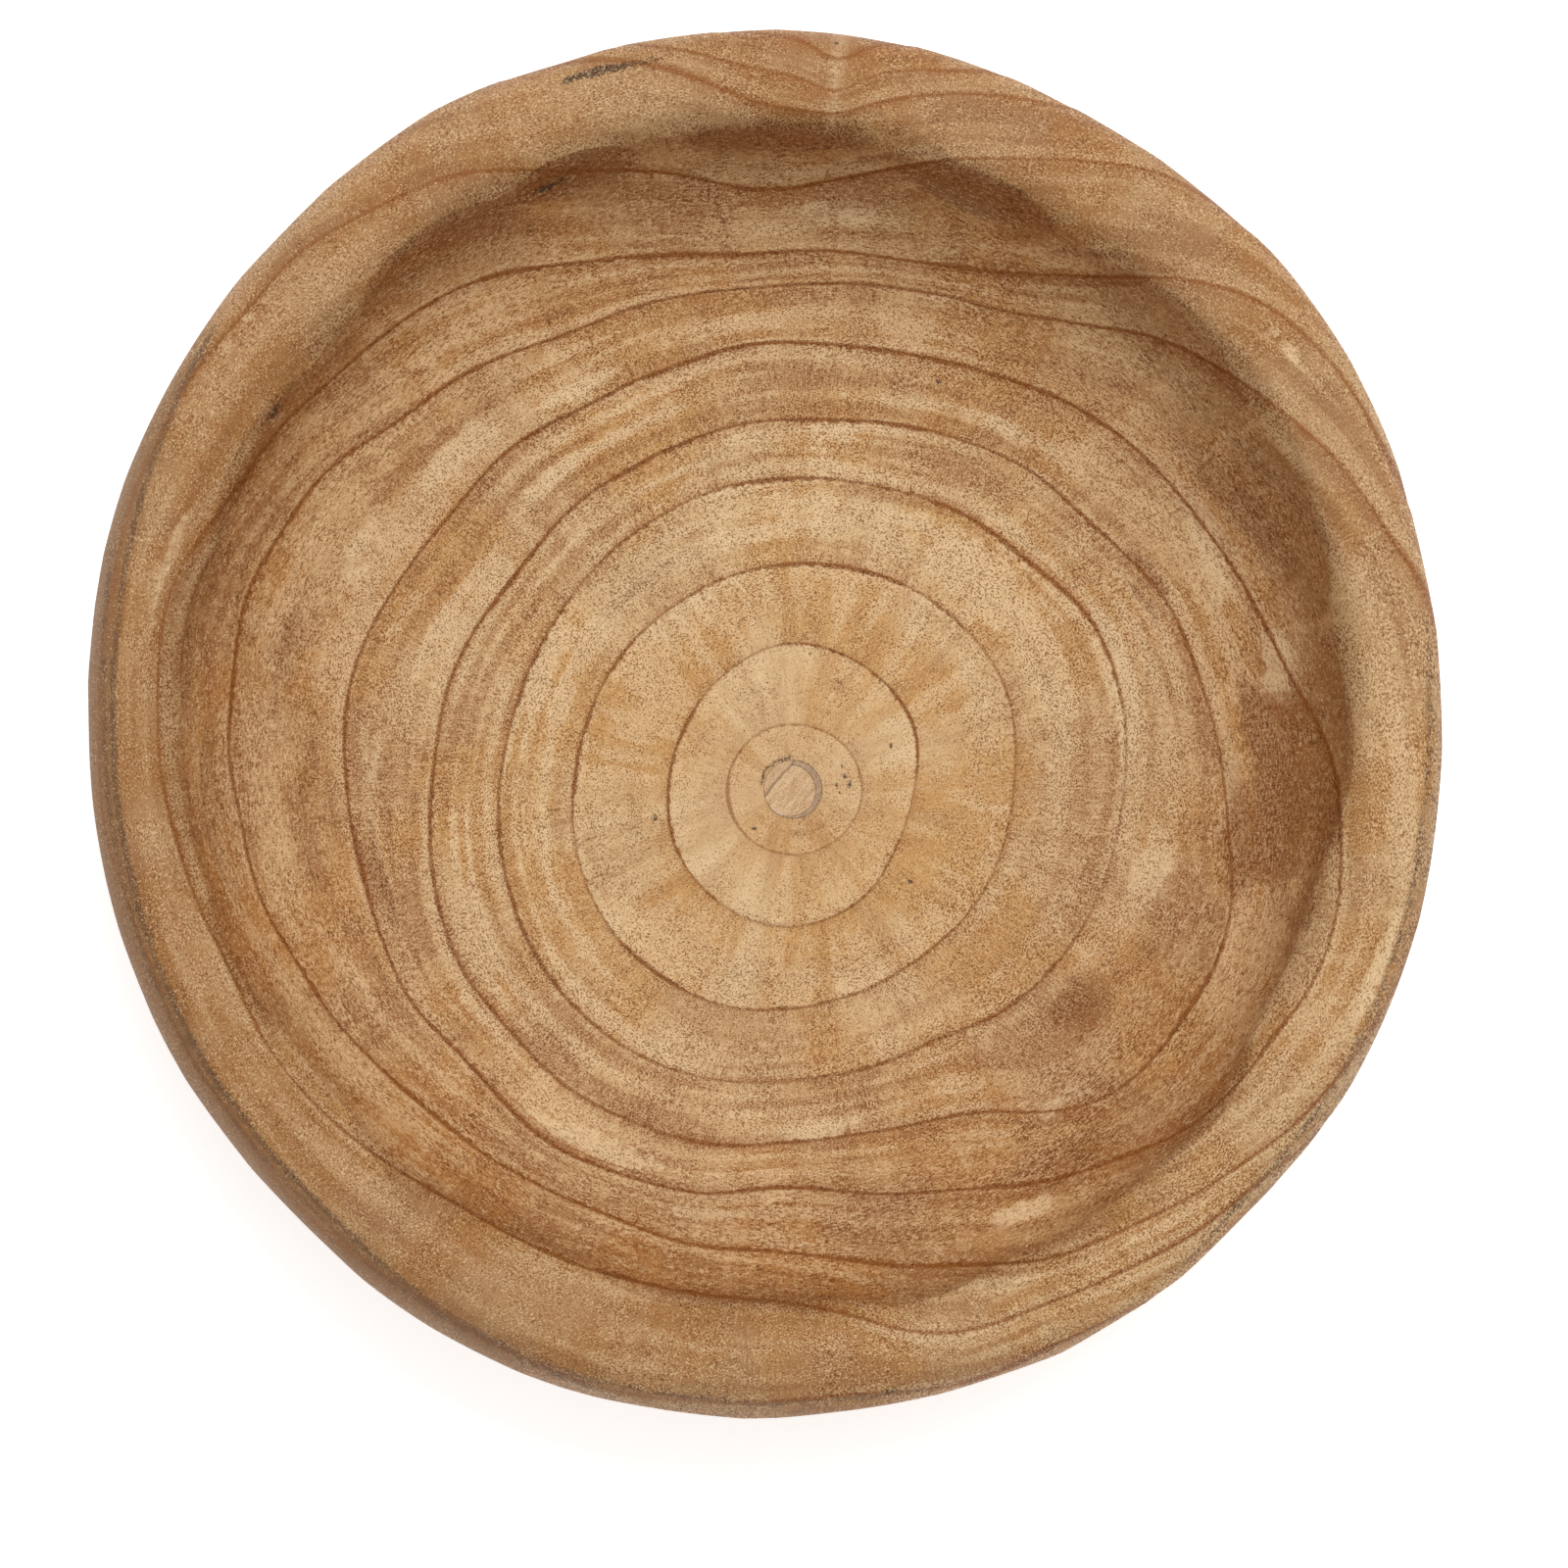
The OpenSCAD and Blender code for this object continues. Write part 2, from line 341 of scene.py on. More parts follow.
# Coats of colour, in the order in which they are laid on
GOLD_COAT = (-0.1, 0.1)
PALE_WEDGE_COAT = 0.5
BROWN_WEDGE_COAT = 0.48
PALE_STREAK_COAT = (0.02, 0.12, 0.0, 0.2)
BROWN_STREAK_COAT = (-0.02, -0.12, 0.0, 0.2)
FRINGE_COAT = 0.5
PALE_HEART_RING = (2.05, 1.95, 0.0, 0.15)
WARM_HEART_RING = (1.05, 0.95, 0.0, 0.3)
WALL_MOTTLE = 0.5
EDGE_RAGGED = 0.6
EDGE_STREAK = 0.6
PALE_COAT = (0.3, 0.52, 0.0, 0.5)
STAIN_AND_SHADE_COAT = (0.2, 0.65, 0.0, 0.8)
STAIN_AND_SHADE_STREAK = 0.6
CUT_STREAK = 0.6
TRACE_COAT = 0.25
RIPPLE_COAT = 0.35
FLANK_COAT = (0.2, 0.9, 0.0, 0.8)
FLANK_STROKE = 0.8
FLANK_LINE_COAT = (0.2, 0.9, 0.0, 0.7)
SCORCH_COAT = (0.25, 0.7, 0.0, 0.85)
SCORCH_PORE = 0.8
DARK_GRAIN_COAT = (0.01, 0.14, 0.0, 0.82)
FLECK_COAT = (0.0, -0.13, 0.0, 0.48)
FLECK_LOSS_STAIN_AND_SHADE = 0.5
FLECK_LOSS_LINE = 0.75

# Pits in the wood: place from the pith, and half-sizes across and up
PITS = [
    (12.7, 1.4, 0.8, 1.3), (14.2, 6.8, 0.6, 1.0), (14.9, 3.8, 0.8, 1.2), (16.3, 1.4, 0.9, 1.6),
    (13.5, -0.9, 0.5, 0.6), (28.4, 12.4, 0.6, 1.3), (4.9, 39.3, 0.6, 0.6), (25.2, 31.3, 0.7, 0.9),
    (-39.9, -8.1, 1.1, 1.4), (-11.2, -11.4, 1.2, 0.6), (33.9, -26.9, 0.8, 0.8),
    (41.8, 117.7, 1.1, 1.1), (11.9, 206.3, 1.2, 0.8),
]
PIT_COAT = (1.0, 0.4, 0.0, 0.85)
PIT_RAGGED = 2.0

# Crack beside the sliver: how far outside the bore, direction, cosines from it, width and breaks
CRACK_OUT = 0.8
CRACK_TOWARD = 132.0
CRACK_SPREAD = (0.7, 0.82)
CRACK_WIDTH = (0.7, 0.2)
CRACK_RAGGED = 3.0
CRACK_BREAKS = (-0.16, 0.0)
CRACK_COAT = 0.85

# Sanded wood of the repair: strokes along the joint between peg and sliver, and that joint's dark line
PEG_STROKE_COAT = (-0.15, 0.2, 0.0, 0.8)
PEG_PORE_COAT = (0.0, 0.2, 0.0, 0.6)
JOINT_WIDTH = (0.5, 0.1)
JOINT_COAT = 0.55

# Curve between display colours and linear ones
DISPLAY_WHITE = 255
TOE_END = 0.04045
TOE_SLOPE = 12.92
CURVE_OFFSET = 0.055
CURVE_POWER = 2.4
OPAQUE = 1.0


def srgb(red, green, blue):
    """Linear colour, with alpha, of a colour given in 0 to 255 display values."""
    def linear(value):
        share = value / DISPLAY_WHITE
        if share <= TOE_END:
            return share / TOE_SLOPE
        return ((share + CURVE_OFFSET) / (1 + CURVE_OFFSET)) ** CURVE_POWER
    return (linear(red), linear(green), linear(blue), OPAQUE)


# Colours, and for each piece of the repair its tint and its shade
WHITE = srgb(255, 255, 255)
TAN = srgb(196, 162, 117)
GOLD = srgb(183, 138, 83)
CREAM = srgb(222, 194, 152)
BROWN = srgb(150, 99, 51)
LINE = srgb(125, 70, 14)
# The wall tint darkens the hollow, partly as painted shade, and the heart as the wood's own tone
WALL_TINT = srgb(226, 207, 188)
RIM_TINT = srgb(206, 190, 176)
# Outside colours: greyer wood, partly standing in for painted shade
FLANK = srgb(126, 90, 56)
FLANK_LINE = srgb(88, 62, 40)
# Stain colour, also laid on as painted shade in the stains and in the dishes
STAIN_AND_SHADE = srgb(128, 76, 28)
PIT = srgb(62, 38, 22)
WARM_SHADE = srgb(158, 124, 96)
PLUG_FINISHES = {
    "pith_peg": (srgb(204, 172, 133), srgb(176, 138, 100)),
    "pith_sliver": (srgb(196, 163, 126), srgb(180, 144, 105)),
    "pith_filler": (srgb(176, 145, 114), srgb(150, 124, 100)),
}


def middle(points):
    """Middle of the box round some points."""
    return (points.min(axis=0) + points.max(axis=0)) / 2


def ease(values, low, high):
    """Smooth step from 0 at low to 1 at high."""
    share = np.clip((values - low) / (high - low), 0, 1)
    return share * share * (3 - 2 * share)


def turned(angles):
    """Angles brought between minus and plus half a turn."""
    return np.mod(angles + FULL_TURN / 2, FULL_TURN) - FULL_TURN / 2


def cubic(values, knots, places):
    """Smooth curve through rows of values at the knots, read at other places along them."""
    steps = np.diff(knots)
    shape = (-1,) + (1,) * (values.ndim - 1)
    slopes = np.diff(values, axis=0) / steps.reshape(shape)
    ahead = steps[:-1].reshape(shape)
    behind = steps[1:].reshape(shape)
    inner = (slopes[:-1] * behind + slopes[1:] * ahead) / (ahead + behind)
    tangents = np.concatenate([slopes[:1], inner, slopes[-1:]])
    index = np.clip(np.searchsorted(knots, places, side="right") - 1, 0, len(steps) - 1)
    width = steps[index].reshape(shape)
    part = ((places - knots[index]) / steps[index]).reshape(shape)
    start = values[index]
    end = values[index + 1]
    leave = tangents[index] * width
    arrive = tangents[index + 1] * width
    return (start + part * (leave + part * (3 * (end - start) - 2 * leave - arrive
            + part * (2 * (start - end) + leave + arrive))))


def around(values, turns):
    """Smooth closed curve through values spaced evenly round a turn, read at shares of a turn."""
    values = np.asarray(values, float)
    count = len(values)
    place = np.mod(turns, 1.0) * count
    index = np.floor(place).astype(int)
    shape = place.shape + (1,) * (values.ndim - 1)
    part = (place - index).reshape(shape)
    before, here, after, beyond = (values[(index + k) % count] for k in (-1, 0, 1, 2))
    return (here + part / 2 * (after - before + part * (2 * before - 5 * here + 4 * after - beyond
            + part * (3 * (here - after) + beyond - before))))


# The carved body's own sections, read back from the frame

def cad_points(node):
    """Distinct corners of a CAD node, in millimetres."""
    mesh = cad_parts[node].data
    spots = np.empty(len(mesh.vertices) * 3, np.float32)
    mesh.vertices.foreach_get("co", spots)
    return np.unique(np.round(spots.reshape(-1, 3).astype(float) / MM, CAD_DIGITS), axis=0)


def read_sections():
    """Sections of the CAD wall by column, then axis, pith, the bore's radius and the floor's height."""
    points = cad_points("bowl_body")
    floor_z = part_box("pith_peg")[1].z / MM
    level = points[np.abs(points[:, 2] - floor_z) < LEVEL_SLACK]
    axis = middle(level[:, :2])
    reach = np.hypot(*(level[:, :2] - axis).T)
    flat_r = reach.max()
    bore = level[reach < flat_r - LEAST_FLOOR, :2]
    pith = middle(bore)
    bore_r = np.hypot(*(bore - pith).T).mean()
    columns = np.count_nonzero(reach > flat_r - EDGE_SLACK)

    away = points[:, :2] - axis
    radius = np.hypot(*away.T)
    turn = np.mod(np.arctan2(away[:, 1], away[:, 0]) / math.tau, 1.0) * columns
    nearest = np.round(turn)
    on_column = (np.abs(turn - nearest) * radius < COLUMN_SLACK) & (radius > flat_r - EDGE_SLACK)
    sections = []
    for column in range(columns):
        mine = on_column & (nearest.astype(int) % columns == column)
        left = np.column_stack([radius[mine], points[mine, 2]])
        here = int(np.argmin(np.hypot(left[:, 0] - flat_r, left[:, 1] - floor_z)))
        chain = []
        while len(left):
            spot = left[here]
            chain.append(spot)
            left = np.delete(left, here, axis=0)
            if len(left):
                here = int(np.argmin(np.hypot(*(left - spot).T)))
        sections.append(chain)
    return np.array(sections), axis, pith, bore_r, floor_z


sections, AXIS, PITH, BORE_R, FLOOR_Z = read_sections()
mean_section = sections.mean(axis=0)
section_knots = np.concatenate([[0], np.cumsum(np.hypot(*np.diff(mean_section, axis=0).T))])
TOE_PLACE = section_knots[np.argmax(mean_section[:, 1] > FLOOR_Z + TOE_RISE)]
CREST_PLACE = section_knots[np.argmax(mean_section[:, 1])]
BELLY_PLACE = section_knots[np.argmax(mean_section[:, 0])]
FOOT_PLACE = section_knots[-1]

sliver_spots = cad_points("pith_sliver")[:, :2] - PITH
JOINT_WAY = sliver_spots.mean(axis=0) / np.hypot(*sliver_spots.mean(axis=0))
JOINT_DISTANCE = (sliver_spots @ JOINT_WAY).min()


# The carved mesh

def spaced(stops, steps):
    """Places along a line, from stop to stop, at most a given step apart in each stretch."""
    stretches = []
    for low, high, step in zip(stops[:-1], stops[1:], steps):
        count = max(1, math.ceil((high - low) / step))
        stretches.append(np.linspace(low, high, count, endpoint=False))
    return np.concatenate(stretches + [[stops[-1]]])


def carved_grid():
    """Closed grid of points over the body: up the bore, out over the floor, rim and outside, and back."""
    turns = np.arange(COLUMNS) / COLUMNS
    places = spaced([0, TOE_PLACE, BELLY_PLACE, FOOT_PLACE], [FLOOR_STEP, WALL_STEP, OUTSIDE_STEP])
    fine = cubic(np.swapaxes(sections, 0, 1), section_knots, places)
    fine = np.stack([around(row, turns) for row in fine])
    ways = np.column_stack([np.cos(math.tau * turns), np.sin(math.tau * turns)])

    def ring(centre, radius, height):
        return np.column_stack([centre + radius * ways, np.full(COLUMNS, height)])

    wall = np.concatenate([AXIS + fine[..., :1] * ways, fine[..., 1:]], axis=2)
    bore_edge = ring(PITH, BORE_R + BORE_CHAMFER, FLOOR_Z)
    shares = np.linspace(0, 1, DISC_ROWS)[:-1] ** DISC_CROWDING
    disc = [bore_edge + (wall[0] - bore_edge) * share for share in shares]
    foot_edge = ring(PITH, BORE_R + BORE_CHAMFER, 0.0)
    foot = [wall[-1] + (foot_edge - wall[-1]) * share for share in np.linspace(0, 1, FOOT_ROWS)[1:]]
    heights = np.linspace(BORE_CHAMFER, FLOOR_Z - BORE_CHAMFER, BORE_ROWS)
    bore = [ring(PITH, BORE_R, height) for height in heights]
    rows = np.concatenate([np.array(bore), np.array(disc), wall, np.array(foot)])
    before = np.zeros(BORE_ROWS + DISC_ROWS - 1)
    after = np.full(FOOT_ROWS - 1, FOOT_PLACE)
    return rows, np.concatenate([before, places, after])


def grid_normals(points):
    """Outward unit normals of a grid that closes both ways."""
    across = np.roll(points, -1, axis=1) - np.roll(points, 1, axis=1)
    along = np.roll(points, -1, axis=0) - np.roll(points, 1, axis=0)
    normals = np.cross(along, across)
    return normals / np.maximum(np.linalg.norm(normals, axis=2, keepdims=True), LEAST_LENGTH)


def to_outline(points):
    """Points carried along the lines of sight to the outline's height, where radii and angles were read."""
    eye = np.array(EYE)
    share = (eye[2] - OUTLINE_Z) / (eye[2] - points[..., 2:])
    return eye[:2] + (points[..., :2] - eye[:2]) * share


def polar(points, centre, centre_z):
    """Radius and angle of points about a centre, as seen from above."""
    away = to_outline(points) - to_outline(np.array([[*centre, centre_z]]))[0]
    return np.hypot(away[..., 0], away[..., 1]), np.degrees(np.arctan2(away[..., 1], away[..., 0]))


def cut_deeper(depth, tone, cut, cut_tone):
    """Depth and tone after one more cut, which shows where it goes deeper than those before it."""
    deeper = cut > depth
    return np.where(deeper, cut, depth), np.where(deeper, cut_tone * ease(cut, 0, TONE_DEPTH), tone)


def small_cuts(points, places):
    """Depth of wood taken off each point, and its tone, by small gouge cuts in bands along the section."""
    draw = np.random.default_rng(CUT_SEED)
    bands = [
        (FLOOR_FROM, CREST_PLACE - WALL_BELOW, FLOOR_CUTS),
        (CREST_PLACE - WALL_BELOW, CREST_PLACE - LIP_BELOW, WALL_CUTS),
        (CREST_PLACE - RIM_BELOW, CREST_PLACE + RIM_BEYOND, RIM_CUTS),
        (CREST_PLACE + OUTSIDE_BEYOND, FOOT_PLACE - CUT_FADE, OUTSIDE_CUTS),
    ]
    away = points[..., :2] - AXIS
    reach = np.hypot(away[..., 0], away[..., 1])
    angle = np.degrees(np.arctan2(away[..., 1], away[..., 0]))
    depth = np.zeros(reach.shape)
    tone = np.zeros(reach.shape)
    for low, high, (pitch_along, pitch_round, deepest) in bands:
        for place in np.arange(low, high, pitch_along):
            radius = np.interp(place, section_knots, mean_section[:, 0])
            count = max(LEAST_CUTS, round(math.tau * radius / pitch_round))
            offset = draw.uniform()
            for k in range(count):
                spot_angle = FULL_TURN * (k + offset + draw.uniform(-CUT_SHIFT, CUT_SHIFT)) / count
                spot_place = place + pitch_along * draw.uniform(-CUT_SHIFT, CUT_SHIFT)
                half_round = pitch_round * draw.uniform(*CUT_HALF_ROUND)
                half_along = pitch_along * draw.uniform(*CUT_HALF_ALONG)
                lean = math.radians(draw.uniform(-CUT_LEAN, CUT_LEAN))
                deep = deepest * draw.uniform(*CUT_DEPTH)
                run = np.radians(turned(angle - spot_angle)) * reach
                rise = places[:, None] - spot_place
                along = (run * math.cos(lean) + rise * math.sin(lean)) / half_round
                across = (rise * math.cos(lean) - run * math.sin(lean)) / half_along
                cut = deep * (1 - along ** 2 - across ** 2)
                depth, tone = cut_deeper(depth, tone, cut, draw.uniform(*CUT_TONE))
    fade = ease(places, 0, CUT_FADE) * ease(FOOT_PLACE - places, 0, CUT_FADE)
    fade = fade * ease(np.abs(places - BELLY_PLACE), 0, BELLY_CALM)
    return depth * fade[:, None], tone


def dish_cuts(points, places, depth, tone):
    """Depth and tone after the large dishes in the hollow's wall."""
    radius, angle = polar(points, AXIS, OUTLINE_Z)
    inward = (places < CREST_PLACE)[:, None]
    for spot_angle, spot_radius, half_angle, half_width, deepest, dish_tone in DISHES:
        aside = np.abs(turned(angle - spot_angle)) / half_angle
        beyond = np.abs(radius - spot_radius) / half_width
        cut = deepest * (1 - np.hypot(aside, beyond) ** DISH_EDGE) * inward
        # The dish's tone is partly darker wood and partly painted shade in its hollow
        depth, tone = cut_deeper(depth, tone, cut, DISH_TONE * dish_tone)
    return depth, tone


# What the tree and the weather left: rings, stains, patches and bands, at each point of the body

def growth_field(radius, angle):
    """Ring number at each point, whole on a dark line, and the local width of a ring."""
    turns = angle / FULL_TURN
    beside = np.exp(-(turned(angle - TRACE_ANGLE) / TRACE_HALF_ANGLE) ** 2)
    radius = radius + TRACE_DIP * beside * ease(radius, TRACE_FROM, TRACE_FROM + TRACE_RUN)
    lines = np.stack([np.zeros_like(radius)] + [around(ring, turns) for ring in RING_RADII])
    widths = np.maximum(np.diff(lines, axis=0), LEAST_RING)
    lines = np.concatenate([lines[:1], np.cumsum(widths, axis=0)])
    slopes = np.concatenate([1 / widths[:1], 2 / (widths[:-1] + widths[1:]), 1 / widths[-1:]])
    growth = len(widths) + (radius - lines[-1]) * slopes[-1]
    pace = slopes[-1]
    for k, width in enumerate(widths):
        within = (radius >= lines[k]) & (radius < lines[k + 1])
        part = (radius - lines[k]) / width
        leave = slopes[k] * width
        arrive = slopes[k + 1] * width
        bend = 3 - 2 * leave - arrive
        twist = leave + arrive - 2
        growth = np.where(within, k + part * (leave + part * (bend + part * twist)), growth)
        pace = np.where(within, (leave + part * (2 * bend + 3 * part * twist)) / width, pace)
    return growth, 1 / np.maximum(pace, LEAST_PACE)


def patches(radius, angle, spots):
    """Sum of soft round patches."""
    total = np.zeros_like(radius)
    for spot_angle, spot_radius, half_angle, half_width, strength in spots:
        aside = turned(angle - spot_angle) / half_angle
        beyond = (radius - spot_radius) / half_width
        total += strength * np.exp(-(aside ** 2 + beyond ** 2) * PATCH_FALL)
    return total


def branch_trace(points):
    """Narrow streak along the trace of the small branch."""
    radius, angle = polar(points, PITH, FLOOR_Z)
    streak = np.exp(-(turned(angle - TRACE_ANGLE) / TRACE_STREAK) ** 2)
    return streak * ease(radius, TRACE_FROM, TRACE_FROM + TRACE_EDGE)


def weathered_and_shaded(radius, angle, below_belly):
    """Darkness of the belly and of the shoulder's bands, partly painted shade, and each band's dark line."""
    depth = radius.max(axis=0) - radius
    tone = BELLY_TONE * below_belly
    line = np.zeros_like(radius)
    for toward, spread, widest, strength in FLANK_BANDS:
        width = widest * ease(np.cos(np.radians(angle - toward)), *spread)
        band = ease(width - depth, -BAND_EDGE, BAND_EDGE) * ease(width, 0, BAND_FULL)
        tone = np.maximum(tone, strength * band)
        edge = np.exp(-((depth - width) / BAND_LINE) ** 2) * ease(width, BAND_EDGE, 2 * BAND_EDGE)
        line = np.maximum(line, strength * edge)
    return tone, line


def wood_layers(points, normals, places, cut_tone):
    """Layers of numbers, one for each thing that the material has to know at every point."""
    growth, ring_gap = growth_field(*polar(points, PITH, FLOOR_Z))
    radius, angle = polar(points, AXIS, OUTLINE_Z)
    place = places[:, None]
    inward = place <= CREST_PLACE
    in_hollow = 1 - ease(place, CREST_PLACE - LIP_FADE[0], CREST_PLACE - LIP_FADE[1])
    on_rim = ease(place, CREST_PLACE - RIM_FADE[0], CREST_PLACE - RIM_FADE[1])
    below_belly = ease(place, BELLY_PLACE - BELLY_BLEND, BELLY_PLACE + BELLY_BLEND)
    seen_above = 1 - ease(place, CREST_PLACE + RIM_BEYOND, BELLY_PLACE)
    steepness = 1 - np.abs(normals[..., 2])
    # Wall darkening: partly browner side grain on steep faces, partly painted shade deepening out from the
    # middle
    wall = (WALL_BY_RADIUS * ease(radius, WALL_FROM, WALL_TO)
            + (1 - WALL_BY_RADIUS) * ease(steepness, *WALL_STEEPNESS))
    # Painted light: one side of the rim is kept paler
    painted_light_side = ease(np.cos(np.radians(angle - RIM_LIT_TOWARD)), *RIM_LIT_SPREAD)
    foot_wear = 1 - FOOT_WEAR * (place >= FOOT_PLACE)
    flank, flank_line = weathered_and_shaded(radius, angle, below_belly)
    return {
        "growth": growth,
        "ring_gap": ring_gap,
        # wall: side grain, and painted shade of the hollow
        "wall": wall * in_hollow,
        # rim: darker wood, kept paler on one side by painted light
        "rim": on_rim * (1 - RIM_PAINTED_LIGHT * painted_light_side),
        # flank: bands partly painted shade on the side away from the lamp
        "flank": np.where(inward, 0.0, flank * foot_wear),
        "flank_line": np.where(inward, 0.0, flank_line * seen_above),
        # stains, partly painted shade
        "stain_and_shade": patches(radius, angle, STAINS_AND_SHADE) * seen_above,
        "pale": patches(radius, angle, PALE_PATCHES) * seen_above,
        "scorch": patches(radius, angle, SCORCHES) * seen_above,
        "trace": branch_trace(points) * seen_above,
        # cut: tone of the cuts, in the dishes partly painted shade
        "cut": cut_tone * inward,
    }


def carved_body():
    """Points of the body after all cuts, inside the CAD box, and their layers."""
    smooth, places = carved_grid()
    normals = grid_normals(smooth)
    growth = growth_field(*polar(smooth, PITH, FLOOR_Z))[0]
    tool_cuts, cut_tone = dish_cuts(smooth, places, *small_cuts(smooth, places))
    ring_steps = RING_RELIEF * (1 - np.mod(growth, 1.0)) * ease(places, 0, CUT_FADE)[:, None]
    points = smooth - normals * (tool_cuts + ring_steps)[..., None]
    points = np.clip(points, np.array(cad_box[0]) / MM, np.array(cad_box[1]) / MM)
    return points, wood_layers(points, normals, places, cut_tone)


def mesh_object(name, points, layers):
    """Mesh object over a closed grid, with a float layer per attribute."""
    rows, columns = points.shape[:2]
    index = np.arange(rows * columns).reshape(rows, columns)
    right = np.roll(index, -1, axis=1)
    above = np.roll(index, -1, axis=0)
    faces = np.stack([index, above, np.roll(above, -1, axis=1), right], axis=2).reshape(-1, 4)
    mesh = bpy.data.meshes.new(name)
    mesh.from_pydata((points.reshape(-1, 3) * MM).tolist(), [], faces.tolist())
    for layer, values in layers.items():
        flat = np.ascontiguousarray(values, np.float32).ravel()
        mesh.attributes.new(layer, "FLOAT", "POINT").data.foreach_set("value", flat)
    mesh.polygons.foreach_set("use_smooth", np.ones(len(mesh.polygons), bool))
    mesh.set_sharp_from_angle(angle=math.radians(SHARP_ANGLE))
    mesh.update()
    piece = bpy.data.objects.new(name, mesh)
    bpy.context.scene.collection.objects.link(piece)
    return piece


# Materials

class Signal:
    """A value inside a material's node tree, with plain arithmetic."""

    def __init__(self, paint, socket):
        self.paint = paint
        self.socket = socket

    def __add__(self, other):
        return self.paint.math("ADD", self, other)

    def __sub__(self, other):
        return self.paint.math("SUBTRACT", self, other)

    def __rsub__(self, other):
        return self.paint.math("SUBTRACT", other, self)

    def __mul__(self, other):
        return self.paint.math("MULTIPLY", self, other)

    def __truediv__(self, other):
        return self.paint.math("DIVIDE", self, other)

    def __neg__(self):
        return self * -1.0

    def toward(self, other, share):
        """This value, moved a share of the way to another one."""
        return self + (other - self) * share

    def spare(self, share):
        """Factor that is 1 where this value is 0, and a share less where it is 1."""
        return 1.0 - self * share


class Paint:
    """A material whose nodes are wired by short calls."""

    def __init__(self, name, specular):
        self.material = bpy.data.materials.new(name)
        self.material.use_nodes = True
        self.tree = self.material.node_tree
        self.shader = self.tree.nodes["Principled BSDF"]
        self.shader.inputs["Specular IOR Level"].default_value = specular
        self.colour = None

    def put(self, value, socket):
        """Links a signal to a socket, or sets a plain value on it."""
        if isinstance(value, Signal):
            self.tree.links.new(value.socket, socket)
        else:
            socket.default_value = value

    def node(self, kind, inputs, **settings):
        """New node with some of its sockets filled, by name."""
        node = self.tree.nodes.new(kind)
        for setting, value in settings.items():
            setattr(node, setting, value)
        for name, value in inputs.items():
            self.put(value, node.inputs[name])
        return node

    def math(self, operation, *values):
        """Result of a math node."""
        node = self.tree.nodes.new("ShaderNodeMath")
        node.operation = operation
        for value, socket in zip(values, node.inputs):
            self.put(value, socket)
        return Signal(self, node.outputs[0])

    def attribute(self, name):
        """Float layer of the mesh."""
        node = self.node("ShaderNodeAttribute", {}, attribute_name=name)
        return Signal(self, node.outputs["Fac"])

    def place(self, centre):
        """Position in the part's frame, in millimetres from a centre in plan, as x, y and z."""
        coordinates = self.node("ShaderNodeTexCoord", {})
        split = self.node("ShaderNodeSeparateXYZ", {"Vector": Signal(self, coordinates.outputs["Object"])})
        x, y, z = (Signal(self, socket) / MM for socket in split.outputs)
        return x - centre[0], y - centre[1], z

    def noise(self, x, y, z, detail):
        """Soft noise about 0, mostly within 0.2, with features about one unit across."""
        vector = self.node("ShaderNodeCombineXYZ", {"X": x, "Y": y, "Z": z})
        inputs = {"Vector": Signal(self, vector.outputs[0]), "Scale": 1.0, "Detail": detail}
        return Signal(self, self.node("ShaderNodeTexNoise", inputs).outputs[0]) - NOISE_MIDDLE

    def fade(self, value, low, high, start=0.0, end=1.0):
        """Smooth step from start, where the value is low, to end, where it is high."""
        inputs = {"Value": value, "From Min": low, "From Max": high, "To Min": start, "To Max": end}
        node = self.node("ShaderNodeMapRange", inputs, interpolation_type="SMOOTHSTEP")
        return Signal(self, node.outputs[0])

    def coat(self, share, tint, blend="MIX"):
        """Lays a share of a tint over the colour so far."""
        node = self.node("ShaderNodeMix", {}, data_type="RGBA", blend_type=blend, clamp_factor=True)
        colours = [socket for socket in node.inputs if socket.type == "RGBA"]
        self.put(share, node.inputs[0])
        self.put(self.colour, colours[0])
        self.put(tint, colours[1])
        self.colour = Signal(self, next(socket for socket in node.outputs if socket.type == "RGBA"))

    def finish(self, grain):
        """Wires the colour to the shader, and roughness and bump that follow the grain."""
        self.put(self.colour, self.shader.inputs["Base Color"])
        self.put(self.fade(grain, *ROUGHNESS), self.shader.inputs["Roughness"])
        bump = self.node("ShaderNodeBump", {"Height": -grain, "Strength": 1.0, "Distance": GRAIN_DEPTH * MM})
        self.put(Signal(self, bump.outputs["Normal"]), self.shader.inputs["Normal"])
        return self.material


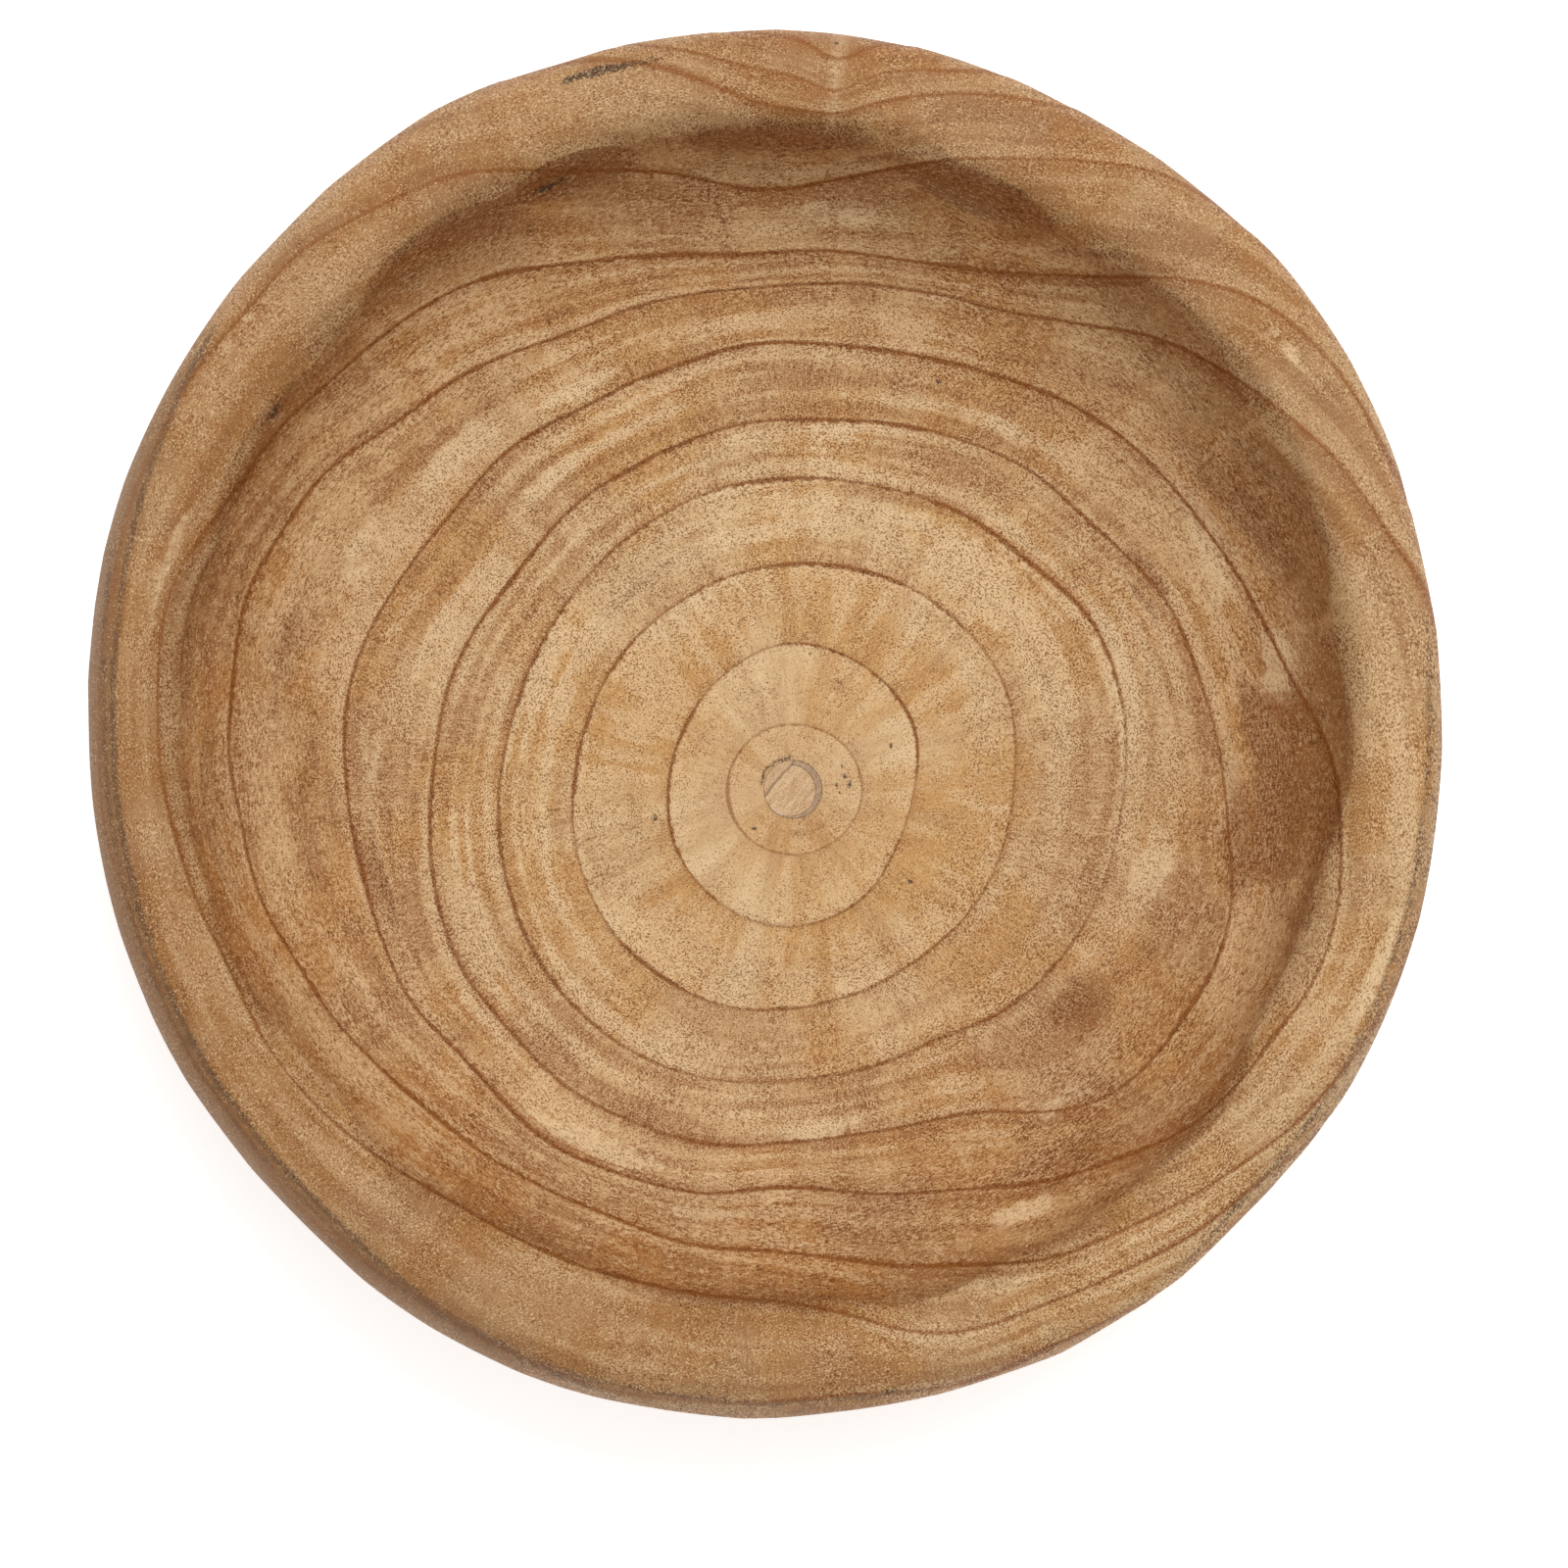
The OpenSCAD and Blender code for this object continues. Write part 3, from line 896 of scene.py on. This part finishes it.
class BowlWood(Paint):
    """Brushed wood: dark ring lines, pale and brown wedges, pores, strokes, stains, painted shade and light.
    """

    def __init__(self, name):
        super().__init__(name, SPECULAR)
        self.x, self.y, self.z = self.place(PITH)
        self.radius = self.math("SQRT", self.x * self.x + self.y * self.y)
        self.way = (self.x / self.radius, self.y / self.radius)
        self.markings = itertools.count()
        self.wall = self.attribute("wall")
        self.rim = self.attribute("rim")
        self.flank = self.attribute("flank")
        self.find_rings()
        self.draw_lines()
        self.draw_wedges()
        self.draw_fringe()
        self.draw_grain()

    def trunk_noise(self, size, detail=NORMAL):
        """Noise of a size, drawn out along the trunk."""
        return self.noise(self.x / size, self.y / size, self.z / (size * FIBRE), detail)

    def round_noise(self, along, across, index, detail=NORMAL):
        """Noise round the pith, of a size along the ring, new in each ring."""
        pace = (index + 1.0) * (RING_STEP / along)
        shift = index * RING_SHIFT + next(self.markings) * MARKING_SHIFT
        return self.noise(self.way[0] * pace, self.way[1] * pace, across + shift, detail)

    def ring_noise(self, size, index, detail=NORMAL):
        """Noise of a size along the ring and across it."""
        along, reach = size
        return self.round_noise(along, self.radius / reach + self.z / (reach * FIBRE), index, detail)

    def find_rings(self):
        """Ring number at each place, the nearest line and the distance past it."""
        gap = self.attribute("ring_gap")
        growth = self.attribute("growth")
        bend = self.trunk_noise(BEND, SMOOTH) * self.fade(growth, *BEND_RING)
        jitter = self.trunk_noise(JITTER, FINE) * JITTER_REACH
        self.rings = growth + (bend + jitter) / gap
        self.ring = self.math("FLOOR", self.rings)
        self.near_line = self.math("ROUND", self.rings)
        self.past_line = (self.rings - self.near_line) * gap
        self.outside = self.fade(self.past_line, *LINE_SIDES)

    def draw_lines(self):
        """Dark line at the end of each ring, and the halo on its inner side."""
        stretch = self.ring_noise(LINE_STRETCH, self.near_line)
        clump = self.ring_noise(LINE_CLUMP, self.near_line)
        width = self.fade(self.near_line, *LINE_WIDTH_RING)
        inside = self.fade(stretch + clump * LINE_INSIDE_CLUMP, *LINE_INSIDE) * width
        core = self.fade(self.past_line, -inside, inside * -LINE_CORE)
        core = core * self.fade(self.past_line, width * LINE_OUTSIDE, LINE_EDGE)
        strength = self.fade(stretch + clump * LINE_STRENGTH_CLUMP, *LINE_STRENGTH)
        strength = strength.toward(1.0, self.fade(self.near_line, *LINE_STRONG_RING))
        strength = strength * self.fade(self.near_line, *LINE_FAINT_RING)
        self.line = core * strength * self.fade(self.flank, *LINE_FLANK) * self.rim.spare(LINE_LOSS_RIM)
        halo = self.fade(-self.past_line, *HALO) * (1.0 - self.outside)
        self.halo = halo * self.fade(stretch, *HALO_STRETCH) * self.fade(self.near_line, *HALO_RING)

    def draw_wedges(self):
        """Wedges of paler and browner wood near the pith, which turn into streaks further out."""
        self.broad = self.ring_noise(BROAD_SECTOR, self.ring)
        wedge = self.ring_noise(WEDGE, self.ring, WEDGE_DETAIL)
        self.ragged = self.trunk_noise(RAGGED, RAGGED_DETAIL)
        along, reach = STREAK
        self.streak = self.round_noise(along, self.rings * (RING_STEP / reach), self.ring)
        self.streaky = self.fade(self.rings, *STREAK_RING)
        wedge = wedge.toward(self.streak, self.streaky * STREAK_SHARE)
        trend = (self.rings - self.ring - RING_MIDDLE) * self.fade(self.rings, *TREND_RING)
        patch = self.broad * PATCH_BROAD + wedge * PATCH_WEDGE + self.ragged * PATCH_RAGGED
        self.patch = patch + trend
        self.bold = self.fade(self.rings, *WEDGE_RING) * self.rim.spare(WEDGE_LOSS_RIM)

    def wedge_share(self, soft, hard):
        """Share of one kind of wedge, as a soft fade with a harder one in it."""
        return (self.fade(self.patch, *soft) + self.fade(self.patch, *hard)) * self.bold

    def draw_fringe(self):
        """Brown spikes on one side of a line, which is the outer one near the pith."""
        wander = self.ring_noise(FRINGE_SIDE, self.near_line) * FRINGE_SIDE_WANDER
        inner = self.fade(self.near_line + wander, *FRINGE_SIDE_RING)
        spike = self.fade(self.ring_noise(FRINGE_SPIKE, self.near_line), *FRINGE_LENGTH)
        from_line = self.math("ABSOLUTE", self.past_line)
        self.fringe = self.fade(from_line, spike, 0.0) * self.outside.toward(1.0 - self.outside, inner)

    def draw_grain(self):
        """Pores in pale wood, strokes across the rings in brown wood, and strokes along the wall."""
        self.cluster = self.trunk_noise(CLUSTER)
        self.large = self.trunk_noise(LARGE)
        porous = self.patch + self.cluster * POROUS_CLUSTER + self.rim * POROUS_RIM
        self.pore = self.ring_noise(PORE, self.ring, FINE)
        across = self.ring_noise(CROSS_STROKE, self.ring)
        self.along = self.ring_noise(WALL_STROKE, self.ring)
        stroke = self.pore.toward(across, (1.0 - self.fade(porous, *POROUS)) * CROSS_SHARE)
        stroke = stroke.toward(self.along, self.fade(self.wall, *WALL_SHARE))
        lively = self.fade(self.cluster + self.streak * LIVELY_STREAK, *LIVELY)
        lively = lively * self.fade(self.radius, *LIVELY_RADIUS) * self.fade(self.wall, *LIVELY_WALL)
        lively = lively * self.rim.spare(LIVELY_LOSS_RIM) * self.flank.spare(LIVELY_LOSS_FLANK)
        ripple = self.fade(self.ring_noise(RIPPLE, self.ring), *RIPPLE_LINE)
        self.ripple = ripple * self.rim * self.fade(self.large, *RIPPLE_AREA)
        self.grain = (stroke * GRAIN_STROKE + self.trunk_noise(SAND, FINE) * GRAIN_SAND) * lively

    def coat_wood(self):
        """Colours of the wood itself, of the wall with painted shade, and of the rim with painted light."""
        self.colour = TAN
        self.coat(self.fade(self.broad + self.large, *GOLD_COAT), GOLD)
        self.coat(self.wedge_share(*PALE_WEDGE) * PALE_WEDGE_COAT, CREAM)
        self.coat(self.wedge_share(*BROWN_WEDGE) * BROWN_WEDGE_COAT, BROWN)
        self.coat(self.fade(self.streak, *PALE_STREAK_COAT) * self.streaky, CREAM)
        self.coat(self.fade(self.streak, *BROWN_STREAK_COAT) * self.streaky, BROWN)
        self.coat(self.fringe * self.bold * FRINGE_COAT, BROWN)
        self.coat(self.fade(self.rings, *PALE_HEART_RING), CREAM)
        self.coat(self.fade(self.rings, *WARM_HEART_RING), WALL_TINT, "MULTIPLY")
        # Rim: darker wood, kept paler on one side by painted light
        self.coat(self.rim, RIM_TINT, "MULTIPLY")
        # Hollow: browner side grain, and painted shade that deepens out from the middle
        self.coat(self.wall + self.cluster * WALL_MOTTLE, WALL_TINT, "MULTIPLY")

    def coat_marks(self):
        """Patches; stains, cuts and outside bands, partly painted shade; ring lines and scorches."""
        edge = self.ragged * EDGE_RAGGED + self.streak * EDGE_STREAK
        self.coat(self.fade(self.attribute("pale") + edge, *PALE_COAT), CREAM)
        # Dark patches: partly stains, partly painted shade where the walls face away from the lamp
        self.stain_and_shade = self.fade(self.attribute("stain_and_shade") + edge + self.streak * STAIN_AND_SHADE_STREAK, *STAIN_AND_SHADE_COAT)
        self.coat(self.stain_and_shade, STAIN_AND_SHADE)
        # Tone of the cuts: random in the small ones, in the dishes partly painted shade
        self.coat(self.attribute("cut") + self.streak * CUT_STREAK, STAIN_AND_SHADE)
        self.coat(self.attribute("trace") * TRACE_COAT, CREAM)
        self.coat(self.ripple * RIPPLE_COAT, BROWN)
        # Outside bands and belly: greyer wood, with painted shade on the side away from the lamp
        self.coat(self.fade(self.flank + self.ragged + self.along * FLANK_STROKE, *FLANK_COAT), FLANK)
        flank_line = self.attribute("flank_line") + self.ragged + self.along
        self.coat(self.fade(flank_line, *FLANK_LINE_COAT), FLANK_LINE)
        self.coat(self.halo, BROWN)
        self.coat(self.line, LINE)
        scorch = self.attribute("scorch") + self.ragged + self.pore * SCORCH_PORE
        self.coat(self.fade(scorch, *SCORCH_COAT), PIT)

    def coat_pits(self):
        """Pits, and the crack beside the sliver."""
        for pit_x, pit_y, half_x, half_y in PITS:
            away_x = (self.x - pit_x) / half_x
            away_y = (self.y - pit_y) / half_y
            away = self.math("SQRT", away_x * away_x + away_y * away_y) + self.ragged * PIT_RAGGED
            self.coat(self.fade(away, *PIT_COAT), PIT)
        angle = math.radians(CRACK_TOWARD)
        toward = self.way[0] * math.cos(angle) + self.way[1] * math.sin(angle)
        off = self.math("ABSOLUTE", self.radius - (BORE_R + CRACK_OUT) + self.ragged * CRACK_RAGGED)
        crack = self.fade(off, *CRACK_WIDTH) * self.fade(toward, *CRACK_SPREAD)
        self.coat(crack * self.fade(self.pore, *CRACK_BREAKS) * CRACK_COAT, PIT)

    def coat_grain(self):
        """Dark pores and strokes, and pale flecks between them."""
        self.coat(self.fade(self.grain, *DARK_GRAIN_COAT), WARM_SHADE, "MULTIPLY")
        fleck = self.fade(self.grain, *FLECK_COAT)
        fleck = fleck * self.stain_and_shade.spare(FLECK_LOSS_STAIN_AND_SHADE) * self.line.spare(FLECK_LOSS_LINE)
        self.coat(fleck, CREAM)


def bowl_wood():
    """Material of the bowl."""
    wood = BowlWood("bowl_wood")
    wood.coat_wood()
    wood.coat_marks()
    wood.coat_pits()
    wood.coat_grain()
    return wood.finish(wood.grain)


def plug_wood(name, tint, shade):
    """Material of one of the repair's own pieces, sanded finer than the bowl."""
    paint = Paint(name, SPECULAR)
    x, y, z = paint.place(PITH)

    def noise(size):
        return paint.noise(x / size, y / size, z / (size * FIBRE), NORMAL)

    across = x * JOINT_WAY[0] + y * JOINT_WAY[1]
    along = y * JOINT_WAY[0] - x * JOINT_WAY[1]
    strokes = paint.noise(along / PEG_STROKE[0], across / PEG_STROKE[1], z / FIBRE, NORMAL)
    off_joint = paint.math("ABSOLUTE", across - JOINT_DISTANCE + noise(PEG_WAVE))
    pore = noise(PEG_PORE)
    paint.colour = tint
    paint.coat(paint.fade(strokes, *PEG_STROKE_COAT), shade)
    paint.coat(paint.fade(off_joint, *JOINT_WIDTH) * JOINT_COAT, FLANK_LINE)
    paint.coat(paint.fade(pore, *PEG_PORE_COAT), WARM_SHADE, "MULTIPLY")
    return paint.finish(pore)


# The bowl and its repair

body = mesh_object("carved_bowl", *carved_body())
body.data.materials.append(bowl_wood())
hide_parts("bowl_body")
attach(body, "root")

for node, (tint, shade) in PLUG_FINISHES.items():
    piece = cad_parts[node]
    weld = piece.modifiers.new("weld", "WELD")
    weld.merge_threshold = REPAIR_WELD * MM
    bevel = piece.modifiers.new("bevel", "BEVEL")
    bevel.width = REPAIR_BEVEL * MM
    bevel.segments = BEVEL_SEGMENTS
    bevel.limit_method = "ANGLE"
    piece.data.materials.clear()
    piece.data.materials.append(plug_wood(node, tint, shade))

# Floor, light and camera

bpy.ops.mesh.primitive_plane_add(size=FLOOR_SIZE)
floor = bpy.context.object
floor.name = "floor"
floor_paint = Paint("pale_floor", specular=0.0)
floor_paint.shader.inputs["Base Color"].default_value = (FLOOR_PALE, FLOOR_PALE, FLOOR_PALE, OPAQUE)
floor_paint.shader.inputs["Roughness"].default_value = FLOOR_ROUGHNESS
floor_paint.shader.inputs["Emission Color"].default_value = WHITE
floor_paint.shader.inputs["Emission Strength"].default_value = FLOOR_GLOW
floor.data.materials.append(floor_paint.material)

world = bpy.data.worlds.new("studio")
bpy.context.scene.world = world
world.use_nodes = True
world.node_tree.nodes["Background"].inputs["Color"].default_value = WHITE
world.node_tree.nodes["Background"].inputs["Strength"].default_value = ROOM_LIGHT

key_data = bpy.data.lights.new("key", "AREA")
key_data.energy = KEY_WATTS
key_data.size = KEY_SIZE
key = bpy.data.objects.new("key", key_data)
bpy.context.scene.collection.objects.link(key)
key_way = Vector((
    math.cos(math.radians(KEY_RISE)) * math.cos(math.radians(KEY_TOWARD)),
    math.cos(math.radians(KEY_RISE)) * math.sin(math.radians(KEY_TOWARD)),
    math.sin(math.radians(KEY_RISE))))
key.location = key_way * KEY_DISTANCE
key.rotation_euler = key_way.to_track_quat("Z", "Y").to_euler()

camera_data = bpy.data.cameras.new("camera")
camera = bpy.data.objects.new("camera", camera_data)
bpy.context.scene.collection.objects.link(camera)
camera.location = Vector(EYE) * MM
camera_data.sensor_width = SENSOR_MM
camera_data.lens = SENSOR_MM * (EYE[2] - OUTLINE_Z) / (PHOTO_PIXELS * MM_PER_PIXEL)
bpy.context.scene.camera = camera
bpy.context.scene.view_settings.view_transform = "Standard"
